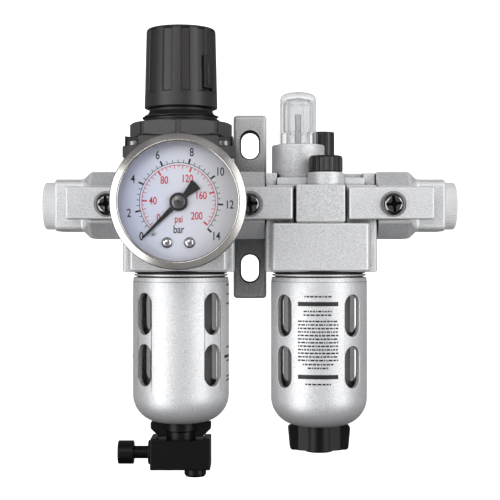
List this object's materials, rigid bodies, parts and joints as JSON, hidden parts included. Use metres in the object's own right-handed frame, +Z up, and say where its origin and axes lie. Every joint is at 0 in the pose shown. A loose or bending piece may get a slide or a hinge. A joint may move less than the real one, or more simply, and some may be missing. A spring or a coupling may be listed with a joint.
{
  "type": "filter regulator lubricator unit",
  "caption": "Compressed air filter regulator and lubricator on a slotted wall bracket, with a round pressure gauge, screw-on bowl guards and drains.",
  "frame": {"origin": "centre of the wall bracket's flat back face", "axes": "+Y into the wall, +Z up, +X from the inlet to the outlet"},
  "size_m": [0.1494, 0.0715, 0.1632],
  "materials": {
    "cast_aluminium": "bead blasted, satin",
    "black_nylon": "matte moulded",
    "charcoal_nylon": "matte moulded, charcoal grey",
    "near_black": "fine texture",
    "black_steel": "black oxide",
    "plated_steel": "zinc plated",
    "chrome": "polished",
    "clear_polycarbonate": "clear moulded",
    "lens": "clear flat",
    "dial_white": "printed white",
    "brass": "turned",
    "rubber": "nitrile",
    "filter_white": "sintered, porous",
    "milky_plug": "translucent moulded"
  },
  "bodies": {
    "manifold": {"baffle": "black_nylon", "bonnet": "charcoal_nylon", "bonnet_screw_1": "black_steel", "bonnet_screw_2": "black_steel", "bonnet_screw_3": "black_steel", "bonnet_screw_4": "black_steel", "bourdon_tube": "brass", "bracket_screw_1": "black_steel", "bracket_screw_2": "black_steel", "center_spacer": "cast_aluminium", "clamp_center": "cast_aluminium", "clamp_left": "cast_aluminium", "clamp_right": "cast_aluminium", "clamp_screw_center": "black_steel", "clamp_screw_left": "black_steel", "clamp_screw_right": "black_steel", "deflector": "black_nylon", "dial_screw_1": "plated_steel", "dial_screw_2": "plated_steel", "diaphragm": "rubber", "drip_tube": "brass", "filter_element": "filter_white", "gauge_bezel": "chrome", "gauge_case": "black_steel", "gauge_dial": "dial_white", "gauge_lens": "lens", "gauge_stem": "brass", "inlet_adapter": "cast_aluminium", "lubricator_body": "cast_aluminium", "outlet_adapter": "cast_aluminium", "panel_nut": "charcoal_nylon", "regulator_body": "cast_aluminium", "sight_dome": "clear_polycarbonate", "siphon_tube": "clear_polycarbonate", "valve_guide": "black_nylon", "wall_bracket": "cast_aluminium"},
    "adjusting_screw": {"adjusting_screw": "plated_steel"},
    "knob": {"knob": "black_nylon"},
    "spring_guide": {"spring_guide": "brass", "pressure_spring": "plated_steel"},
    "valve": {"valve_poppet": "brass", "diaphragm_plate": "brass", "valve_spring": "plated_steel"},
    "gauge_needle": {"gauge_needle": "near_black"},
    "filter_bowl": {"filter_bowl": "clear_polycarbonate", "filter_bowl_seal": "rubber", "drain_body": "near_black", "drain_nut": "near_black"},
    "filter_guard": {"filter_bowl_guard": "cast_aluminium"},
    "drain_button": {"drain_button": "near_black"},
    "oil_bowl": {"oil_bowl": "clear_polycarbonate", "oil_bowl_seal": "rubber"},
    "oil_guard": {"oil_bowl_guard": "cast_aluminium"},
    "oil_drain_knob": {"oil_drain_knob": "near_black"},
    "oil_rate_knob": {"oil_rate_knob": "near_black"},
    "filler_seal": {"filler_seal": "rubber"},
    "filler_plug": {"filler_plug": "near_black"},
    "flow_damper": {"flow_damper": "rubber"},
    "inlet_plug": {"inlet_plug": "milky_plug"},
    "outlet_plug": {"outlet_plug": "milky_plug"}
  },
  "joints": [
    {"name": "pressure_turn", "type": "hinge", "parent": "manifold", "child": "adjusting_screw", "pos_m": [-0.0252, -0.026, 0.035], "axis": [0, 0, -1], "range_deg": [0, 2160]},
    {"name": "knob_lock", "type": "slide", "parent": "adjusting_screw", "child": "knob", "axis": [0, 0, 1], "range_m": [0, 0.003]},
    {"name": "spring_guide_travel", "type": "slide", "parent": "manifold", "child": "spring_guide", "axis": [0, 0, -1], "range_m": [0, 0.0075], "deforming": ["pressure_spring"]},
    {"name": "valve_lift", "type": "slide", "parent": "manifold", "child": "valve", "axis": [0, 0, -1], "range_m": [0, 0.0008], "stiffness_N_per_m": 1500, "springref_m": -0.0005, "deforming": ["valve_spring"]},
    {"name": "gauge_pointer", "type": "hinge", "parent": "manifold", "child": "gauge_needle", "pos_m": [-0.0238, -0.026, -0.0004], "axis": [0, 1, 0], "range_deg": [0, 270]},
    {"name": "filter_bowl_travel", "type": "slide", "parent": "manifold", "child": "filter_bowl", "axis": [0, 0, -1], "range_m": [0, 0.0075]},
    {"name": "filter_guard_turn", "type": "hinge", "parent": "filter_bowl", "child": "filter_guard", "pos_m": [-0.0252, -0.026, -0.03], "axis": [0, 0, -1], "range_deg": [0, 1800]},
    {"name": "drain_push", "type": "slide", "parent": "filter_bowl", "child": "drain_button", "axis": [1, 0, 0], "range_m": [0, 0.003], "stiffness_N_per_m": 600, "springref_m": -0.001},
    {"name": "oil_bowl_travel", "type": "slide", "parent": "manifold", "child": "oil_bowl", "axis": [0, 0, -1], "range_m": [0, 0.0075]},
    {"name": "oil_guard_turn", "type": "hinge", "parent": "oil_bowl", "child": "oil_guard", "pos_m": [0.0252, -0.026, -0.03], "axis": [0, 0, -1], "range_deg": [0, 1800]},
    {"name": "oil_drain_turn", "type": "hinge", "parent": "oil_bowl", "child": "oil_drain_knob", "pos_m": [0.0252, -0.026, -0.085], "axis": [0, 0, -1], "range_deg": [0, 360]},
    {"name": "oil_rate_turn", "type": "hinge", "parent": "manifold", "child": "oil_rate_knob", "pos_m": [0.0274, -0.016, 0.02], "axis": [0, 0, 1], "range_deg": [0, 720]},
    {"name": "filler_lift", "type": "slide", "parent": "manifold", "child": "filler_seal", "axis": [0, 0, 1], "range_m": [0, 0.006]},
    {"name": "filler_turn", "type": "hinge", "parent": "filler_seal", "child": "filler_plug", "pos_m": [0.0269, -0.0392, 0.0114], "axis": [0, 0, 1], "range_deg": [0, 2160]},
    {"name": "damper_swing", "type": "hinge", "parent": "manifold", "child": "flow_damper", "pos_m": [0.0252, -0.026, 0.003], "axis": [0, -1, 0], "range_deg": [0, 25], "stiffness_Nm_per_rad": 0.002},
    {"name": "inlet_plug_pull", "type": "slide", "parent": "manifold", "child": "inlet_plug", "axis": [-1, 0, 0], "range_m": [0, 0.012]},
    {"name": "outlet_plug_pull", "type": "slide", "parent": "manifold", "child": "outlet_plug", "axis": [1, 0, 0], "range_m": [0, 0.012]}
  ],
  "couplings": [
    {"joint": "pressure_turn", "follows": "spring_guide_travel", "rad_per_m": 5026.5},
    {"joint": "filter_guard_turn", "follows": "filter_bowl_travel", "rad_per_m": 4188.8},
    {"joint": "oil_guard_turn", "follows": "oil_bowl_travel", "rad_per_m": 4188.8},
    {"joint": "filler_turn", "follows": "filler_lift", "rad_per_m": 6283.2}
  ]
}
